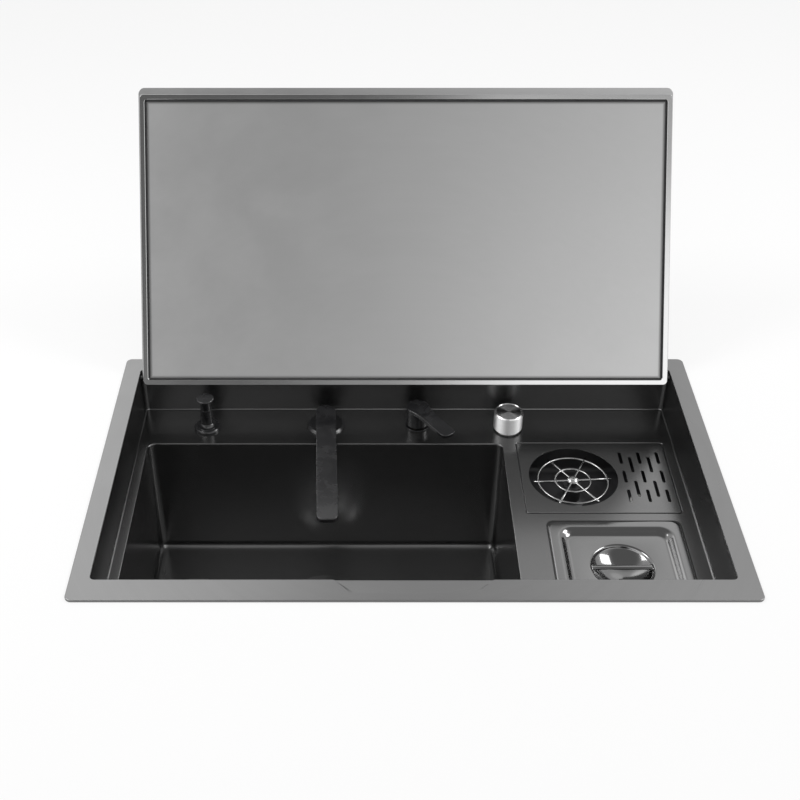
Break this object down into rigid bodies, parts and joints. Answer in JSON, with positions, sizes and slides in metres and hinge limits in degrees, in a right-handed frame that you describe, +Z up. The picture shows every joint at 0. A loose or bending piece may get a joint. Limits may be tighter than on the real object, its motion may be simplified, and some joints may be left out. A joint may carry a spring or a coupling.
{
  "type": "single bowl kitchen sink",
  "caption": "Inset steel kitchen sink: bowl, blade tap, mixer lever, soap pump, drain knob, glass rinser and scrap container in a sunken deck under a hinged lid.",
  "frame": {"origin": "middle of the flange's underside, on the worktop's surface", "axes": "+X to the right, +Y to the back and +Z up, seen by someone standing at the sink"},
  "size_m": [0.8, 0.6615, 0.7429],
  "materials": {
    "dark_steel": "satin, gunmetal",
    "lid_steel": "satin",
    "lid_edge_steel": "fine satin",
    "black_fitting": "satin",
    "knob_steel": "turned",
    "bright_steel": "polished",
    "chrome": "polished",
    "brass": "plain",
    "plain_steel": "zinc plated",
    "rubber": "matt",
    "pad": "matt",
    "dark_plastic": "matt",
    "white_plastic": "matt",
    "clear_plastic": "translucent"
  },
  "bodies": {
    "root": {"top_flange": "dark_steel", "recess_walls": "dark_steel", "deck_plate": "dark_steel", "recess_seam": "dark_steel", "bowl_shell": "dark_steel", "sound_pads": "pad", "mount_clips": "plain_steel", "clip_screws": "plain_steel", "lid_hinge_bushes": "dark_plastic", "lid_hinge_housings": "dark_plastic", "lid_rest_pads": "rubber", "drain_flange": "bright_steel", "drain_gasket": "rubber", "drain_lock_nut": "white_plastic", "drain_tailpiece": "white_plastic", "tap_ring": "black_fitting", "tap_shank": "brass", "tap_washer": "rubber", "tap_nut": "brass", "mixer_base": "black_fitting", "mixer_cartridge": "white_plastic", "mixer_nut": "brass", "mixer_tails": "brass", "knob_base": "knob_steel", "knob_nut": "brass", "knob_cable_gland": "dark_plastic", "soap_base": "black_fitting", "soap_nut": "dark_plastic", "soap_dip_tube": "white_plastic", "soap_spring": "plain_steel", "soap_bottle": "clear_plastic", "rinser_tray": "dark_plastic", "tray_drain_spigot": "white_plastic", "rinser_valve_body": "dark_plastic", "rinser_valve_nut": "brass", "rinser_nozzle": "chrome", "rinser_spring": "plain_steel"},
    "lid": {"lid_skin": "lid_edge_steel", "lid_frame": "lid_edge_steel", "lid_seal": "rubber", "lid_inner_panel": "lid_steel", "lid_ribs": "plain_steel", "lid_hinge_pins": "black_fitting"},
    "spout": {"tap_column": "black_fitting", "tap_spout": "black_fitting", "tap_aerator": "dark_plastic"},
    "turret": {"mixer_turret": "brass"},
    "lever": {"mixer_lever": "black_fitting", "mixer_lever_pin": "plain_steel"},
    "soap_rod": {"soap_piston_rod": "plain_steel"},
    "soap_pump_head": {"soap_head": "black_fitting"},
    "knob": {"drain_knob": "knob_steel"},
    "lifter": {"drain_lifter": "bright_steel"},
    "basket": {"drain_basket": "bright_steel"},
    "spider": {"rinser_spider": "bright_steel", "rinser_plunger": "dark_plastic"},
    "panel": {"rinser_panel": "dark_steel"},
    "container": {"container_pan": "bright_steel"},
    "cover": {"container_lid": "bright_steel", "container_handle": "bright_steel"}
  },
  "joints": [
    {"name": "lid_hinge", "type": "hinge", "parent": "root", "child": "lid", "pos_m": [0, 0.2015, -0.003], "axis": [-1, 0, 0], "range_deg": [-122, 0]},
    {"name": "spout_swivel", "type": "hinge", "parent": "root", "child": "spout", "pos_m": [-0.113, 0.1775, -0.069], "axis": [0, 0, 1], "range_deg": [-60, 60]},
    {"name": "mixer_turn", "type": "hinge", "parent": "root", "child": "turret", "pos_m": [0.0178, 0.1786, -0.069], "axis": [0, 0, 1], "range_deg": [-79, 11]},
    {"name": "lever_lift", "type": "hinge", "parent": "turret", "child": "lever", "pos_m": [0.0178, 0.1786, -0.053], "axis": [-0.832, -0.5548, 0], "range_deg": [0, 12]},
    {"name": "soap_press", "type": "slide", "parent": "root", "child": "soap_rod", "axis": [0, 0, -1], "range_m": [0, 0.01], "stiffness_N_per_m": 300, "springref_m": -0.01, "deforming": ["soap_spring"]},
    {"name": "soap_head_turn", "type": "hinge", "parent": "soap_rod", "child": "soap_pump_head", "pos_m": [-0.2825, 0.1715, -0.03], "axis": [0, 0, 1], "continuous": true},
    {"name": "knob_turn", "type": "hinge", "parent": "root", "child": "knob", "pos_m": [0.1471, 0.1706, -0.069], "axis": [0, 0, 1], "range_deg": [0, 90]},
    {"name": "drain_lift", "type": "slide", "parent": "root", "child": "lifter", "axis": [0, 0, 1], "range_m": [0, 0.008]},
    {"name": "basket_lift_out", "type": "slide", "parent": "lifter", "child": "basket", "axis": [0, 0, 1], "range_m": [0, 0.08]},
    {"name": "spider_press", "type": "slide", "parent": "root", "child": "spider", "axis": [0, 0, -1], "range_m": [0, 0.005], "stiffness_N_per_m": 300, "springref_m": -0.01, "deforming": ["rinser_spring"]},
    {"name": "panel_lift_off", "type": "slide", "parent": "root", "child": "panel", "axis": [0, 0, 1], "range_m": [0, 0.03]},
    {"name": "container_lift_out", "type": "slide", "parent": "root", "child": "container", "axis": [0, 0, 1], "range_m": [0, 0.12]},
    {"name": "cover_lift_off", "type": "slide", "parent": "container", "child": "cover", "axis": [0, 0, 1], "range_m": [0, 0.06]}
  ],
  "couplings": [
    {"joint": "drain_lift", "follows": "knob_turn", "m_per_rad": 0.005093}
  ]
}
